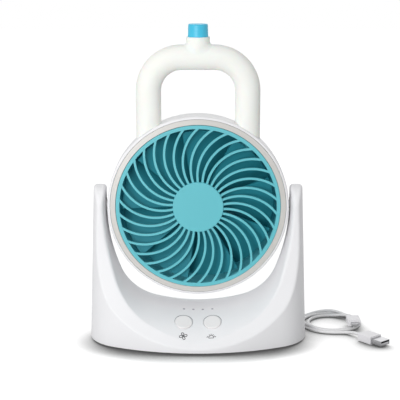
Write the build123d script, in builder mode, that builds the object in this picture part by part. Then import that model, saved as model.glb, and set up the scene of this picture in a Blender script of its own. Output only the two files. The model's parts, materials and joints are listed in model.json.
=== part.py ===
"""Rechargeable table fan with a U-shaped base, a tilting drum head, a lamp handle and a USB cable.

Millimetres. +Z is up, the fan blows towards -Y and +X is on its right as seen from the front.
The origin is on the table, below the tilt axis.
"""

import math
import os

from build123d import *

os.makedirs("parts", exist_ok=True)

# Head: drum, front ring and grille
head_radius = 82.9
shell_wall = 2.4
band_front = 13.0
band_rear = 10.0
head_rear = 36.0
rear_step = 22.9
lip_width = 4.5
ring_width = 4.8
ring_bevel = 0.8
ring_edge = 0.4
ring_flange = 3.0
ring_flange_thickness = 2.0
ring_depth = 5.2
seam = 0.3
grille_depth = 4.0
grille_rim_width = 3.3
grille_hub_radius = 23.1
grille_hub_rise = 1.2
grille_hub_edge = 0.6
rib_count = 34
rib_width = 2.0
rib_thickness = 2.2
rib_middle_radius = 50.0
rib_middle_turn = -5.4
rib_end_turn = -22.0
rib_first_angle = 5.0

# Rotor and motor
blade_count = 9
blade_gap = 2.8
blade_thickness = 1.6
blade_camber = 3.0
blade_root_chord = 23.0
blade_tip_chord = 62.0
blade_root_pitch = 40.0
blade_tip_pitch = 22.0
blade_setback = 4.2
rotor_hub_radius = 21.5
rotor_hub_length = 25.0
rotor_hub_wall = 2.0
rotor_front_gap = 2.0
shaft_radius = 1.5
shaft_boss_radius = 4.0
running_gap = 0.05
motor_radius = 16.0
motor_length = 20.0
motor_nose_radius = 5.0
motor_nose_length = 2.2
motor_edge = 2.4
motor_screw_offset = 8.0
motor_screw_reach = 5.0
rear_grille_thickness = 2.4
rear_hub_radius = 21.0
rear_rib_count = 24
rear_rib_width = 2.0

# Tilt pivot
pivot_radius = 4.0
pivot_boss_radius = 6.5
pivot_boss_reach = 8.0
bush_wall = 3.0
bush_length = 7.8
pin_edge = 0.5
pin_end_gap = 1.5
arm_boss_wall = 3.0

# Base
arm_gap = 1.3
arm_foot = 16.6
base_half_depth = 56.0
base_end_radius = 42.0
foot_height = 2.0
side_draft = 2.0
wall = 2.2
arm_radius = 18.6
flare_drop = 17.4
flare_spare = 2.9
saddle_gap = 11.9
saddle_height = 32.6
saddle_radius = 160.0
saddle_corner = 46.0
hump_spare = 16.0
edge_fillet = 3.0
plate_thickness = 2.2
fit_gap = 0.15
foot_radius = 7.0
foot_edge = 0.5
foot_inset = (34.8, 32.0)
post_inset = 5.4
post_angle = 44.0
post_radius = 4.5
post_height = 10.0

# Fasteners
screw_radius = 1.5
screw_head_radius = 2.8
screw_head_height = 1.8
small_screw_radius = 1.0
small_screw_head_radius = 1.9
small_screw_head_height = 1.2
head_screw_count = 4
head_screw_first_angle = 45.0
shell_screw_radius = 1.5
shell_boss_radius = 4.2
shell_screw_length = 16.0
shell_screw_depth = 8.0
low_boss_inset = 40.8
low_boss_rise = 11.0
arm_boss_inset = 4.3
arm_boss_drop = 42.4

# Controls on the front panel; a lean is an angle round the panel's hump from its top
button_spacing = 26.2
button_lean = 28.5
button_radius = 7.9
button_gap = 0.25
button_rise = 0.9
button_edge = 0.7
button_flange_width = 1.3
button_flange_thickness = 1.0
button_flange_drop = 0.9
button_plunger_radius = 2.0
button_plunger_length = 1.1
button_travel = 1.2
lamp_count = 4
lamp_pitch = 8.75
lamp_lean = 12.9
lamp_radius = 1.1
lamp_tail = 1.5
switch_side = 6.0
switch_height = 3.4
switch_stem_radius = 1.7
switch_stem_height = 1.0
switch_gap = 0.3
board_thickness = 1.6
panel_board_size = (58.0, 13.0)
panel_post_place = 25.5
panel_post_radius = 2.5

# Battery and charging
cell_radius = 9.2
cell_length = 65.0
cell_gap = 0.4
tray_floor = 1.6
tray_wall = 1.6
tray_wall_height = 14.0
main_board_width = 44.0
main_board_front_gap = 7.7
main_board_rear_gap = 9.5
standoff_height = 1.0
standoff_radius = 2.5
standoff_inset = (4.0, 3.0)
socket_size = (7.6, 6.0, 2.8)
socket_reach = 4.7
socket_gap = 0.4

# Handle lamp
handle_span = 89.6
handle_rise = 63.6
handle_radius = 11.5
handle_wall = 1.8
handle_bend = 30.0
handle_set = -1.0
lamp_strip_size = (27.0, 10.0, 1.6)
collar_radius = 11.0
collar_top_radius = 10.6
collar_rise = 6.7
collar_wall = 1.2
collar_floor = 2.0
cap_gap = 0.2
cap_rise = 11.5
cap_taper = 2.0
cap_wall = 1.8
cap_edge = 1.2
cap_travel = 2.0

# Cable, lying on the table beside the base
cord_radius = 1.45
cord_lift = 0.05
coil_offset = (27.2, 36.0)
coil_radius = 31.5
coil_pitch = 3.6
coil_half_turns = 5
cord_sides = 8
plug_direction = (0.65, -0.76)
a_grip_size = (15.0, 15.0, 7.5)
a_shell_size = (12.0, 11.5, 4.5)
a_shell_wall = 0.4
a_relief_length = 6.0
a_relief_radius = 2.6
a_relief_wall = 0.25
a_window_side = 2.4
micro_grip_size = (12.5, 15.0, 6.0)
micro_shell_size = (6.9, 7.0, 1.9)
micro_shell_edge = 0.45
plug_edge = 1.2
plug_rest = 0.5
tail_lead = 10.0
tail_rise_run = 9.0
tail_end_run = 6.0
bend_share = 0.45
coil_sample_count = 600
own_reach_stubs = 4

# Places that follow from the sizes above
base_bottom = foot_height
plate_top = base_bottom + plate_thickness
arm_inner = head_radius + arm_gap
base_half_width = arm_inner + arm_foot
pivot_height = saddle_height + saddle_gap + head_radius
scoop_reach = base_half_depth + wall
hump_radius = base_half_depth + hump_spare
saddle_middle = saddle_height + saddle_radius
side_middle = arm_inner - saddle_radius
# The middle of the right corner's arc lies as far from the middle of the side's arc as from the bottom's
middles_apart = math.hypot(side_middle, saddle_middle - pivot_height)
corner_out = math.sqrt((saddle_radius - saddle_corner) ** 2 - middles_apart**2 / 4) / middles_apart
corner_x = side_middle / 2 + corner_out * (saddle_middle - pivot_height)
corner_z = (saddle_middle + pivot_height) / 2 + corner_out * side_middle
corner_start = math.degrees(math.atan2(pivot_height - corner_z, corner_x - side_middle))
corner_end = math.degrees(math.atan2(saddle_middle - corner_z, corner_x))
flare_start = pivot_height - flare_drop
flare_low = flare_start - base_bottom
flare_run = base_half_depth + flare_spare - arm_radius
flare_radius = (flare_low**2 + flare_run**2) / (2 * flare_run)
foot_place = (base_half_width - foot_inset[0], base_half_depth - foot_inset[1])
post_reach = base_end_radius - post_inset
post_place = (
    base_half_width - base_end_radius + post_reach * math.cos(math.radians(post_angle)),
    post_reach * math.sin(math.radians(post_angle)),
)
low_boss_place = (base_half_width - low_boss_inset, base_bottom + low_boss_rise)
arm_boss_place = (arm_inner + arm_boss_inset, pivot_height - arm_boss_drop)
rear_opening = head_radius - rear_step
shell_inner = head_radius - shell_wall
ring_outer = shell_inner - seam
ring_inner = ring_outer - ring_width
ring_seat = band_front - ring_depth
grille_radius = ring_inner - seam
grille_back = ring_seat + ring_flange_thickness
grille_front = grille_back + grille_depth
rib_front = grille_front - seam
blade_tip_radius = grille_radius - grille_rim_width - blade_gap
rotor_front = rib_front - rib_thickness - rotor_front_gap
rear_plate_front = head_rear - shell_wall - rear_grille_thickness
handle_top = pivot_height + head_radius + handle_rise
handle_centre = handle_top - handle_radius
bush_radius = pivot_radius + bush_wall
arm_boss_radius = bush_radius + arm_boss_wall
bush_end = arm_inner + bush_length
cell_spread = 2 * cell_radius + cell_gap
main_board_front = cell_spread + main_board_front_gap
main_board_rear = base_half_depth - main_board_rear_gap
main_board_depth = main_board_rear - main_board_front
cord_height = cord_radius + cord_lift

pivot = (0, 0, pivot_height)
fan_axis = Axis(pivot, (0, 1, 0))
# Local x, y of this plane are X, Z from the front, and its normal points forward
front_plane = Plane(pivot, x_dir=(1, 0, 0), z_dir=(0, -1, 0))
# Local x, y of this plane are the distance from the fan axis and Y
turning_plane = Plane(pivot)


# Forms shared by several pieces
def oval_face(inset):
    """The base's plan: two end arcs and two long arcs that run into each other."""
    half_width = base_half_width - inset
    half_depth = base_half_depth - inset
    end_radius = base_end_radius - inset
    shift = half_width - end_radius
    long_radius = (shift**2 + half_depth**2 - end_radius**2) / (2 * (half_depth - end_radius))
    turn = math.atan2(shift, long_radius - half_depth)
    meet_x = long_radius * math.sin(turn)
    meet_y = long_radius * math.cos(turn) - (long_radius - half_depth)
    with BuildSketch() as oval:
        with BuildLine():
            ThreePointArc((-meet_x, -meet_y), (0, -half_depth), (meet_x, -meet_y))
            ThreePointArc((meet_x, -meet_y), (half_width, 0), (meet_x, meet_y))
            ThreePointArc((meet_x, meet_y), (0, half_depth), (-meet_x, meet_y))
            ThreePointArc((-meet_x, meet_y), (-half_width, 0), (-meet_x, -meet_y))
        make_face()
    return oval.sketch


def saddle_face(radius, inset):
    """A cut through one arc of the scoop, waisted outside: distance from the arc's middle, and Y."""
    mouth = radius + hump_radius - math.sqrt((hump_radius - inset) ** 2 - scoop_reach**2)
    back = radius - saddle_corner / 2
    with BuildSketch() as face:
        with BuildLine():
            Polyline((mouth, -scoop_reach), (back, -scoop_reach), (back, scoop_reach), (mouth, scoop_reach))
            ThreePointArc((mouth, scoop_reach), (radius + inset, 0), (mouth, -scoop_reach))
        make_face()
    return face.sketch


def saddle_arc(middle, radius, start, turn, inset):
    """One arc of the scoop, from a start angle below the horizontal through a turn downwards."""
    face = saddle_face(radius, inset)
    angle = math.radians(-start)
    across = (math.cos(angle), 0, math.sin(angle))
    place = (middle[0], 0, middle[1])
    with BuildPart() as arc:
        with BuildSketch(Plane(place, x_dir=across, z_dir=(-across[2], 0, across[0]))):
            add(face)
        revolve(axis=Axis(place, (0, 1, 0)), revolution_arc=turn)
    return arc.part


def saddle_point(turn, depth):
    """A point inside the right corner's arc, at an angle below the horizontal."""
    angle = math.radians(-turn)
    reach = saddle_corner - depth
    return (corner_x + reach * math.cos(angle), corner_z + reach * math.sin(angle))


def scoop_form(inset):
    """The room for the head: a U with round corners and waisted sides, open at the top."""
    side_face = saddle_face(saddle_radius, inset)
    side = saddle_arc((side_middle, pivot_height), saddle_radius, 0, corner_start, inset)
    corner = saddle_arc((corner_x, corner_z), saddle_corner, corner_start, corner_end - corner_start, inset)
    bottom = saddle_arc((0, saddle_middle), saddle_radius, corner_end, 180 - 2 * corner_end, inset)
    depth = saddle_corner / 4
    right = [(arm_inner - depth, pivot_height + 2 * arm_radius), (arm_inner - depth, pivot_height)]
    right += [saddle_point(corner_start, depth), saddle_point(corner_end, depth)]
    left = [(-x, z) for x, z in reversed(right)]
    with BuildPart() as scoop:
        add(side)
        add(corner)
        with BuildSketch(Plane((side_middle, 0, pivot_height))):
            add(side_face)
        extrude(amount=2 * arm_radius)
        mirror(about=Plane.YZ)
        add(bottom)
        with BuildSketch(Plane.XZ):
            with BuildLine():
                Polyline(*right, (0, saddle_height + depth), *left, close=True)
            make_face()
        extrude(amount=scoop_reach, both=True)
    return scoop.part


def flare_depth(drop, inset):
    """Half the base's depth at a distance below the start of its flare."""
    return arm_radius + flare_radius - math.sqrt((flare_radius + inset) ** 2 - drop**2)


def base_form(inset):
    """The base's outer form, drawn in by inset all round."""
    half = arm_radius - inset
    toe = flare_depth(flare_low, inset)
    shin = flare_depth(flare_low / 2, inset)
    scoop = scoop_form(inset)
    oval = oval_face(inset)
    with BuildPart() as form:
        with BuildSketch(Plane.XY.offset(base_bottom)):
            add(oval)
        extrude(amount=pivot_height + arm_radius, taper=side_draft)
        with BuildSketch(Plane.YZ):
            with BuildLine():
                Line((-toe, base_bottom), (toe, base_bottom))
                ThreePointArc((toe, base_bottom), (shin, flare_start - flare_low / 2), (half, flare_start))
                Line((half, flare_start), (half, pivot_height))
                ThreePointArc((half, pivot_height), (0, pivot_height + half), (-half, pivot_height))
                Line((-half, pivot_height), (-half, flare_start))
                ThreePointArc((-half, flare_start), (-shin, flare_start - flare_low / 2), (-toe, base_bottom))
            make_face()
        extrude(amount=base_half_width, both=True, mode=Mode.INTERSECT)
        add(scoop, mode=Mode.SUBTRACT)
    return form.part


def panel_plane(across, lean):
    """A plane that touches the front panel, with its normal pointing out of the base."""
    angle = math.radians(lean)
    ring = saddle_radius + hump_radius * (1 - math.cos(angle))
    rise = math.sqrt(ring**2 - across**2)
    inward = (-across / ring, rise / ring)
    normal = (math.cos(angle) * inward[0], -math.sin(angle), math.cos(angle) * inward[1])
    place = (across, -hump_radius * math.sin(angle), saddle_middle - rise)
    return Plane(place, x_dir=(inward[1], 0, -inward[0]), z_dir=normal)


def beyond_saddle(place):
    """How far a point lies outside the saddle's line, seen from the front."""
    across = abs(place.X)
    turn = math.degrees(math.atan2(corner_z - place.Z, across - corner_x))
    if place.Z > pivot_height:
        return across - arm_inner
    if turn < corner_start:
        return math.hypot(across - side_middle, place.Z - pivot_height) - saddle_radius
    if turn > corner_end:
        return math.hypot(across, place.Z - saddle_middle) - saddle_radius
    return math.hypot(across - corner_x, place.Z - corner_z) - saddle_corner


def on_scoop_rim(edge):
    """Whether an edge runs along the rim where the scoop meets the base's outside."""
    place = edge.center()
    waist = hump_radius - math.sqrt(hump_radius**2 - place.Y**2)
    seam_inside = abs(place.Y) < seam and place.Z < pivot_height + seam
    return abs(beyond_saddle(place) - waist) < seam and not seam_inside


def on_crease(edge):
    """Whether an edge runs where the arms' and flares' front or back meets the base's ends."""
    place = edge.center()
    depth = arm_radius
    if place.Z > pivot_height:
        depth = math.sqrt(max(0, arm_radius**2 - (place.Z - pivot_height) ** 2))
    if place.Z < flare_start:
        depth = flare_depth(flare_start - place.Z, 0)
    return abs(abs(place.Y) - depth) < seam and edge.geom_type != GeomType.LINE and not on_scoop_rim(edge)


button_planes = [panel_plane(side * button_spacing / 2, button_lean) for side in (-1, 1)]
lamp_planes = [panel_plane((n - (lamp_count - 1) / 2) * lamp_pitch, lamp_lean) for n in range(lamp_count)]
panel_middle = panel_plane(0, button_lean)
flange_top = wall + button_flange_drop
plunger_end = flange_top + button_flange_thickness + button_plunger_length
stem_top = plunger_end + button_travel + switch_gap
panel_board_top = stem_top + switch_stem_height + switch_height
post_places = [(x, y) for x in (-post_place[0], post_place[0]) for y in (-post_place[1], post_place[1])]
boss_places = [(side * x, z) for x, z in (low_boss_place, arm_boss_place) for side in (-1, 1)]


# Base shells: one hollow form with bosses, cut into halves on the plane of the tilt axis
outer_form = base_form(0)
cavity_form = base_form(wall)
boss_room = base_form(wall / 2)

with BuildPart() as outer_body:
    add(outer_form)
    rims = outer_body.edges().filter_by(on_scoop_rim)
    creases = outer_body.edges().filter_by(on_crease)
    fillet(rims + creases, radius=edge_fillet)

# Bosses and posts inside the base, which end within its wall
with BuildPart() as base_bosses:
    # Round bosses for the pivot bushes, inside each arm
    with BuildSketch(Plane.YZ):
        with Locations((0, pivot_height)):
            Circle(arm_boss_radius)
    extrude(amount=base_half_width, both=True)
    # Long bosses for the screws that join the halves
    with BuildSketch(Plane.XZ):
        with Locations(*boss_places):
            Circle(shell_boss_radius)
    extrude(amount=base_half_depth, both=True)
    # Posts for the bottom plate's screws
    with BuildSketch(Plane.XY.offset(plate_top)):
        with Locations(*post_places):
            Circle(post_radius)
    extrude(amount=post_height)
    # Posts that carry the switch board
    with BuildSketch(panel_middle.offset(wall)):
        with Locations((-panel_post_place, 0), (panel_post_place, 0)):
            Circle(panel_post_radius)
    extrude(amount=-panel_board_top - wall)
    add(boss_room, mode=Mode.INTERSECT)

with BuildPart() as base_body:
    add(outer_body.part)
    add(cavity_form, mode=Mode.SUBTRACT)
    add(base_bosses.part)
    # Bores for the bushes and the plate's screws
    with BuildSketch(Plane.YZ):
        with Locations((0, pivot_height)):
            Circle(bush_radius)
    extrude(amount=bush_end, both=True, mode=Mode.SUBTRACT)
    with BuildSketch(Plane.XY.offset(plate_top)):
        with Locations(*post_places):
            Circle(screw_radius)
    extrude(amount=post_height - wall, mode=Mode.SUBTRACT)

with BuildPart() as base_front_shell:
    add(base_body.part)
    split(bisect_by=Plane.XZ, keep=Keep.TOP)
    with BuildSketch(Plane.XZ):
        with Locations(*boss_places):
            Circle(shell_screw_radius)
    extrude(amount=shell_screw_depth, mode=Mode.SUBTRACT)
    for plane in button_planes:
        with BuildSketch(plane):
            Circle(button_radius + button_gap)
        extrude(amount=flange_top, both=True, mode=Mode.SUBTRACT)
    for plane in lamp_planes:
        with BuildSketch(plane):
            Circle(lamp_radius + running_gap)
        extrude(amount=wall + lamp_tail, both=True, mode=Mode.SUBTRACT)
base_front_shell.part.label = "base_front_shell"
export_step(base_front_shell.part, "parts/base_front_shell.step")

socket_top = plate_top + standoff_height + board_thickness + socket_size[2]
with BuildPart() as base_rear_shell:
    add(base_body.part)
    split(bisect_by=Plane.XZ, keep=Keep.BOTTOM)
    with BuildSketch(Plane.XZ):
        with Locations(*boss_places):
            Circle(shell_screw_radius)
    extrude(amount=-base_half_depth, mode=Mode.SUBTRACT)
    with BuildSketch(Plane.XZ.offset(-shell_screw_depth)):
        with Locations(*boss_places):
            Circle(screw_head_radius + fit_gap)
    extrude(amount=-base_half_depth, mode=Mode.SUBTRACT)
    # Slot for the charging socket
    with BuildSketch(Plane.XZ.offset(-main_board_rear)):
        with Locations((0, socket_top - socket_size[2] / 2)):
            RectangleRounded(socket_size[0] + 2 * socket_gap, socket_size[2] + 2 * socket_gap, socket_gap)
    extrude(amount=-base_half_depth, mode=Mode.SUBTRACT)
base_rear_shell.part.label = "base_rear_shell"
export_step(base_rear_shell.part, "parts/base_rear_shell.step")

plate_face = oval_face(wall + fit_gap)
board_middle = (main_board_front + main_board_rear) / 2
standoff_x = main_board_width / 2 - standoff_inset[0]
standoff_y = main_board_depth / 2 - standoff_inset[1]
standoffs = [(x, board_middle + y) for x in (-standoff_x, standoff_x) for y in (-standoff_y, standoff_y)]
with BuildPart() as bottom_plate:
    with BuildSketch(Plane.XY.offset(base_bottom)):
        add(plate_face)
    extrude(amount=plate_thickness, taper=side_draft)
    with BuildSketch(Plane.XY.offset(base_bottom)):
        with Locations(*post_places):
            Circle(screw_radius + fit_gap)
    extrude(amount=plate_thickness, mode=Mode.SUBTRACT)
    with BuildSketch(Plane.XY.offset(plate_top)):
        with Locations(*standoffs):
            Circle(standoff_radius)
    extrude(amount=standoff_height)
bottom_plate.part.label = "bottom_plate"
export_step(bottom_plate.part, "parts/bottom_plate.step")

with BuildPart() as rubber_feet:
    with BuildSketch():
        with GridLocations(2 * foot_place[0], 2 * foot_place[1], 2, 2):
            Circle(foot_radius)
    extrude(amount=foot_height)
    chamfer(rubber_feet.faces().sort_by(Axis.Z)[:4].edges(), length=foot_edge)
rubber_feet.part.label = "rubber_feet"
export_step(rubber_feet.part, "parts/rubber_feet.step")

plate_screw_length = plate_thickness + post_height - 2 * wall
with BuildPart() as plate_screws:
    with BuildSketch(Plane.XY.offset(base_bottom)):
        with Locations(*post_places):
            Circle(screw_radius - running_gap)
    extrude(amount=plate_screw_length)
    with BuildSketch(Plane.XY.offset(base_bottom)):
        with Locations(*post_places):
            Circle(screw_head_radius)
    extrude(amount=-screw_head_height + seam)
plate_screws.part.label = "plate_screws"
export_step(plate_screws.part, "parts/plate_screws.step")

with BuildPart() as shell_screws:
    with BuildSketch(Plane.XZ.offset(-shell_screw_depth)):
        with Locations(*boss_places):
            Circle(shell_screw_radius - running_gap)
    extrude(amount=shell_screw_length - fit_gap)
    with BuildSketch(Plane.XZ.offset(-shell_screw_depth)):
        with Locations(*boss_places):
            Circle(screw_head_radius)
    extrude(amount=-screw_head_height)
shell_screws.part.label = "shell_screws"
export_step(shell_screws.part, "parts/shell_screws.step")


# Pivot bushes in the arms, and pins fixed in the head
def bush(side):
    """A plain bush from the arm's inner face outwards."""
    with BuildPart() as ring:
        with BuildSketch(Plane.YZ.offset(side * arm_inner)):
            with Locations((0, pivot_height)):
                Circle(bush_radius)
                Circle(pivot_radius + running_gap, mode=Mode.SUBTRACT)
        extrude(amount=side * bush_length)
    return ring


def pivot_pin(side):
    """A pin through the head's boss into the bush."""
    start = shell_inner - pivot_boss_reach
    with BuildPart() as pin:
        with BuildSketch(Plane.YZ.offset(side * start)):
            with Locations((0, pivot_height)):
                Circle(pivot_radius)
        extrude(amount=side * (bush_end - pin_end_gap - start))
        chamfer(pin.edges(), length=pin_edge)
    return pin


left_pivot_bush = bush(-1)
left_pivot_bush.part.label = "left_pivot_bush"
export_step(left_pivot_bush.part, "parts/left_pivot_bush.step")
right_pivot_bush = bush(1)
right_pivot_bush.part.label = "right_pivot_bush"
export_step(right_pivot_bush.part, "parts/right_pivot_bush.step")
left_pivot_pin = pivot_pin(-1)
left_pivot_pin.part.label = "left_pivot_pin"
export_step(left_pivot_pin.part, "parts/left_pivot_pin.step")
right_pivot_pin = pivot_pin(1)
right_pivot_pin.part.label = "right_pivot_pin"
export_step(right_pivot_pin.part, "parts/right_pivot_pin.step")


# Front panel: buttons, indicator lenses and the switch board behind them
def push_button(plane):
    """A round button with a flange behind the panel and a plunger above its switch."""
    with BuildPart() as button:
        with BuildSketch(plane.offset(-flange_top)):
            Circle(button_radius)
        extrude(amount=flange_top + button_rise)
        fillet(button.faces().sort_by(Axis(plane.origin, plane.z_dir))[-1].edges(), radius=button_edge)
        with BuildSketch(plane.offset(-flange_top)):
            Circle(button_radius + button_flange_width)
        extrude(amount=-button_flange_thickness)
        with BuildSketch(plane.offset(-flange_top)):
            Circle(button_plunger_radius)
        extrude(amount=-button_flange_thickness - button_plunger_length)
    return button


fan_button = push_button(button_planes[0])
fan_button.part.label = "fan_button"
export_step(fan_button.part, "parts/fan_button.step")
light_button = push_button(button_planes[1])
light_button.part.label = "light_button"
export_step(light_button.part, "parts/light_button.step")

with BuildPart() as indicator_lenses:
    for plane in lamp_planes:
        with BuildSketch(plane.offset(running_gap)):
            Circle(lamp_radius)
        extrude(amount=-wall - lamp_tail)
indicator_lenses.part.label = "indicator_lenses"
export_step(indicator_lenses.part, "parts/indicator_lenses.step")

with BuildPart() as switch_board:
    with BuildSketch(panel_middle.offset(-panel_board_top)):
        Rectangle(*panel_board_size)
    extrude(amount=-board_thickness)
switch_board.part.label = "switch_board"
export_step(switch_board.part, "parts/switch_board.step")

with BuildPart() as panel_switches:
    with BuildSketch(panel_middle.offset(-panel_board_top)):
        with Locations((-button_spacing / 2, 0), (button_spacing / 2, 0)):
            Rectangle(switch_side, switch_side)
    extrude(amount=switch_height)
    with BuildSketch(panel_middle.offset(-panel_board_top + switch_height)):
        with Locations((-button_spacing / 2, 0), (button_spacing / 2, 0)):
            Circle(switch_stem_radius)
    extrude(amount=switch_stem_height)
panel_switches.part.label = "panel_switches"
export_step(panel_switches.part, "parts/panel_switches.step")

# Battery and charging board on the bottom plate
tray_length = cell_length + 2 * (cell_gap + tray_wall)
cell_height = plate_top + tray_floor + cell_radius + running_gap
with BuildPart() as battery_tray:
    with BuildSketch(Plane.XY.offset(plate_top)):
        Rectangle(tray_length, 2 * cell_spread)
    extrude(amount=tray_floor)
    with BuildSketch(Plane.XY.offset(plate_top)):
        with GridLocations(tray_length - tray_wall, 0, 2, 1):
            Rectangle(tray_wall, 2 * cell_spread)
    extrude(amount=tray_floor + tray_wall_height)
battery_tray.part.label = "battery_tray"
export_step(battery_tray.part, "parts/battery_tray.step")

with BuildPart() as battery_cells:
    with BuildSketch(Plane.YZ):
        with Locations((-cell_spread / 2, cell_height), (cell_spread / 2, cell_height)):
            Circle(cell_radius)
    extrude(amount=cell_length / 2, both=True)
battery_cells.part.label = "battery_cells"
export_step(battery_cells.part, "parts/battery_cells.step")

with BuildPart() as main_board:
    with BuildSketch(Plane.XY.offset(plate_top + standoff_height)):
        with Locations((0, board_middle)):
            Rectangle(main_board_width, main_board_depth)
    extrude(amount=board_thickness)
main_board.part.label = "main_board"
export_step(main_board.part, "parts/main_board.step")

with BuildPart() as charge_socket:
    with BuildSketch(Plane.XY.offset(plate_top + standoff_height + board_thickness)):
        with Locations((0, main_board_rear + socket_reach - socket_size[1] / 2)):
            Rectangle(socket_size[0], socket_size[1])
    extrude(amount=socket_size[2])
    offset(amount=-socket_gap, openings=charge_socket.faces().sort_by(Axis.Y)[-1])
charge_socket.part.label = "charge_socket"
export_step(charge_socket.part, "parts/charge_socket.step")


# Head: every round piece is a profile turned about the fan axis
def turned(*outline):
    """A closed straight-sided outline of (radius, Y) points."""
    with BuildSketch(turning_plane) as profile:
        with BuildLine():
            Polyline(*outline, close=True)
        make_face()
    return profile.sketch


def polar(radius, turn):
    """A point at a radius and an angle, as seen from the front."""
    return (radius * math.cos(math.radians(turn)), radius * math.sin(math.radians(turn)))


rear_lip = rear_opening + lip_width
rear_depth = head_rear - band_rear
rear_drop = head_radius - rear_lip
rear_curve = (rear_drop**2 + rear_depth**2) / (2 * rear_drop)
lip_front = head_rear - shell_wall
lip_inner = head_radius - rear_curve + math.sqrt(
    (rear_curve - shell_wall) ** 2 - (rear_depth - shell_wall) ** 2
)
edge_round = shell_wall - seam
head_screw_radius = rear_opening + lip_width / 2
head_screw_angles = [head_screw_first_angle + n * 360 / head_screw_count for n in range(head_screw_count)]
head_screw_places = [polar(head_screw_radius, angle) for angle in head_screw_angles]
with BuildPart() as head_shell:
    with BuildSketch(turning_plane):
        with BuildLine():
            Line((shell_inner, -band_front), (head_radius - edge_round, -band_front))
            TangentArc(
                (head_radius - edge_round, -band_front),
                (head_radius, -band_front + edge_round),
                tangent=(1, 0),
            )
            Line((head_radius, -band_front + edge_round), (head_radius, band_rear))
            TangentArc((head_radius, band_rear), (rear_lip, head_rear), tangent=(0, 1))
            Polyline((rear_lip, head_rear), (rear_opening, head_rear), (rear_opening, lip_front))
            Line((rear_opening, lip_front), (lip_inner, lip_front))
            TangentArc((shell_inner, band_rear), (lip_inner, lip_front), tangent=(0, 1))
            Line((shell_inner, band_rear), (shell_inner, -band_front))
        make_face()
    revolve(axis=fan_axis)
    # Ledge behind the front ring
    ledge = turned(
        (ring_inner, -ring_seat),
        (head_radius - shell_wall / 2, -ring_seat),
        (head_radius - shell_wall / 2, -ring_seat + shell_wall),
        (ring_inner, -ring_seat + shell_wall),
    )
    revolve(ledge, axis=fan_axis)
    # Pivot bosses
    for side in (-1, 1):
        with BuildSketch(Plane.YZ.offset(side * (shell_inner - pivot_boss_reach))):
            with Locations((0, pivot_height)):
                Circle(pivot_boss_radius)
        extrude(amount=side * (pivot_boss_reach + shell_wall / 2))
    with BuildSketch(Plane.YZ):
        with Locations((0, pivot_height)):
            Circle(pivot_radius)
    extrude(amount=arm_inner, both=True, mode=Mode.SUBTRACT)
    with BuildSketch(front_plane.offset(-head_rear)):
        with Locations(*head_screw_places):
            Circle(small_screw_radius + running_gap)
    extrude(amount=shell_wall, mode=Mode.SUBTRACT)
head_shell.part.label = "head_shell"
export_step(head_shell.part, "parts/head_shell.step")

flange_inner = ring_inner - ring_flange
ring_outline = turned(
    (ring_inner, -band_front - ring_bevel),
    (ring_outer, -band_front),
    (ring_outer, -ring_seat),
    (flange_inner, -ring_seat),
    (flange_inner, -grille_back),
    (ring_inner, -grille_back),
)
with BuildPart() as front_ring:
    revolve(ring_outline, axis=fan_axis)
    fillet(front_ring.edges().filter_by(GeomType.CIRCLE).sort_by(Axis.Y)[0], radius=ring_edge)
front_ring.part.label = "front_ring"
export_step(front_ring.part, "parts/front_ring.step")

rim_inner = grille_radius - grille_rim_width
with BuildSketch() as rib:
    with BuildLine():
        ThreePointArc(
            polar(grille_hub_radius - rib_width, rib_first_angle),
            polar(rib_middle_radius, rib_first_angle + rib_middle_turn),
            polar(rim_inner + grille_rim_width / 2, rib_first_angle + rib_end_turn),
        )
    trace(line_width=rib_width)

with BuildPart() as front_grille:
    with BuildSketch(front_plane.offset(grille_back)):
        Circle(grille_radius)
        Circle(rim_inner, mode=Mode.SUBTRACT)
    extrude(amount=grille_depth)
    with BuildSketch(front_plane.offset(rib_front - rib_thickness)):
        with PolarLocations(0, rib_count):
            add(rib.sketch)
    extrude(amount=rib_thickness)
    with BuildSketch(front_plane.offset(rib_front - rib_thickness)):
        Circle(grille_hub_radius)
    extrude(amount=rib_thickness + grille_hub_rise)
    fillet(front_grille.faces().sort_by(Axis.Y)[0].edges(), radius=grille_hub_edge)
front_grille.part.label = "front_grille"
export_step(front_grille.part, "parts/front_grille.step")

rear_rim_radius = rear_lip - shell_wall / 2
motor_screw_places = [(-motor_screw_offset, 0), (motor_screw_offset, 0)]
rear_plate = front_plane.offset(-rear_plate_front - rear_grille_thickness)
with BuildPart() as rear_grille:
    with BuildSketch(rear_plate):
        Circle(rear_rim_radius)
        Circle(rear_opening - rear_rib_width, mode=Mode.SUBTRACT)
        Circle((rear_opening + rear_hub_radius) / 2)
        Circle((rear_opening + rear_hub_radius) / 2 - rear_rib_width, mode=Mode.SUBTRACT)
        with PolarLocations(0, rear_rib_count):
            Rectangle(rear_opening, rear_rib_width, align=(Align.MIN, Align.CENTER))
        Circle(rear_hub_radius)
        with Locations(*motor_screw_places):
            Circle(small_screw_radius + running_gap, mode=Mode.SUBTRACT)
        with Locations(*head_screw_places):
            Circle(small_screw_radius, mode=Mode.SUBTRACT)
    extrude(amount=rear_grille_thickness)
rear_grille.part.label = "rear_grille"
export_step(rear_grille.part, "parts/rear_grille.step")

with BuildPart() as head_screws:
    with BuildSketch(front_plane.offset(-head_rear)):
        with Locations(*head_screw_places):
            Circle(small_screw_radius - running_gap)
    extrude(amount=shell_wall + rear_grille_thickness)
    with BuildSketch(front_plane.offset(-head_rear)):
        with Locations(*head_screw_places):
            Circle(small_screw_head_radius)
    extrude(amount=-small_screw_head_height)
head_screws.part.label = "head_screws"
export_step(head_screws.part, "parts/head_screws.step")

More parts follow.
